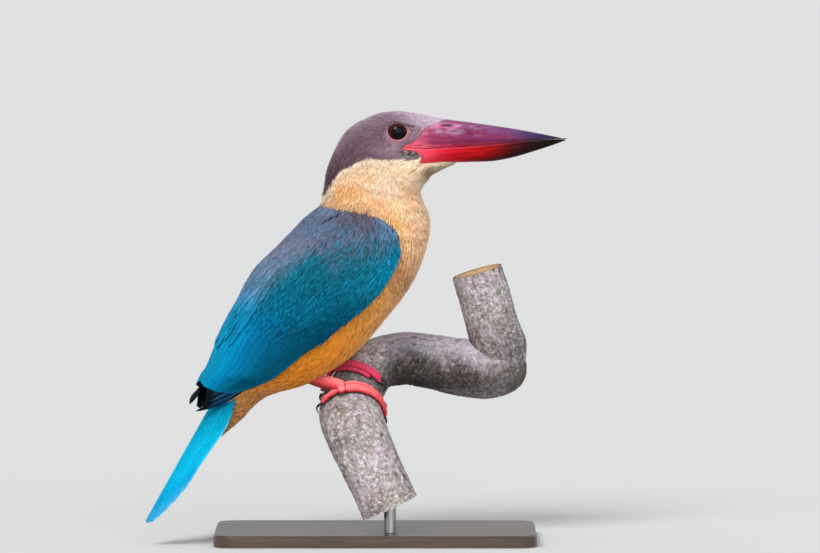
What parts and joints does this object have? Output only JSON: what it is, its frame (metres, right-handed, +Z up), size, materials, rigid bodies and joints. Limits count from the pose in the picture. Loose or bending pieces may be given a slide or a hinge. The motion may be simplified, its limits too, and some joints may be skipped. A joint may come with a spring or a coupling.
{
  "type": "stork-billed kingfisher",
  "caption": "Life-size still model of a large kingfisher with a heavy red bill, perched on a cut length of bent branch on a plain display stand.",
  "frame": {"origin": "middle of the whole box in X and Y, at the underside of the stand's base", "axes": "+X the way the bill points, +Y towards the bird's left, +Z up"},
  "size_m": [0.2429, 0.106, 0.2494],
  "materials": {
    "cap_feathers": "matte grey-brown feathers with a mauve tone, streaked, paler on the forehead",
    "buff_feathers": "soft matte pale orange-buff feathers",
    "orange_feathers": "soft matte orange-buff feathers, richer under the wing",
    "wing_feathers": "sleek blue-green feathers, browner on the shoulder and azure on the long feathers",
    "primary_feathers": "dark blackish-brown flight feathers",
    "tail_feathers": "azure tail feathers with dark shafts",
    "bill_upper_horn": "satin horn, dusky magenta-red, dark along the ridge and at the tip",
    "bill_lower_horn": "satin horn, scarlet at the base, blackish towards the tip",
    "eye": "wet, very dark brown",
    "foot_scales": "scaly coral-red skin",
    "claw_horn": "black horn with a soft gloss",
    "bark": "rough grey-brown bark with pale specks",
    "stand_base": "dark stained wood with a satin finish",
    "stand_rod": "brushed steel"
  },
  "bodies": {
    "root": {"bill_lower": "bill_lower_horn", "bill_upper": "bill_upper_horn", "breast": "buff_feathers", "claw_left_hind": "claw_horn", "claw_left_inner": "claw_horn", "claw_left_middle": "claw_horn", "claw_left_outer": "claw_horn", "claw_right_hind": "claw_horn", "claw_right_inner": "claw_horn", "claw_right_middle": "claw_horn", "claw_right_outer": "claw_horn", "eye_left": "eye", "eye_right": "eye", "head": "cap_feathers", "leg_left": "foot_scales", "leg_right": "foot_scales", "neck": "buff_feathers", "perch_bend": "bark", "perch_cross_limb": "bark", "perch_fork": "bark", "perch_limb": "bark", "primaries_left": "primary_feathers", "primaries_right": "primary_feathers", "stand_base": "stand_base", "stand_rod": "stand_rod", "tail": "tail_feathers", "toe_left_front": "foot_scales", "toe_left_hind": "foot_scales", "toe_left_inner": "foot_scales", "toe_right_front": "foot_scales", "toe_right_hind": "foot_scales", "toe_right_inner": "foot_scales", "trunk": "orange_feathers", "undertail": "orange_feathers", "wing_left": "wing_feathers", "wing_right": "wing_feathers"}
  },
  "joints": []
}
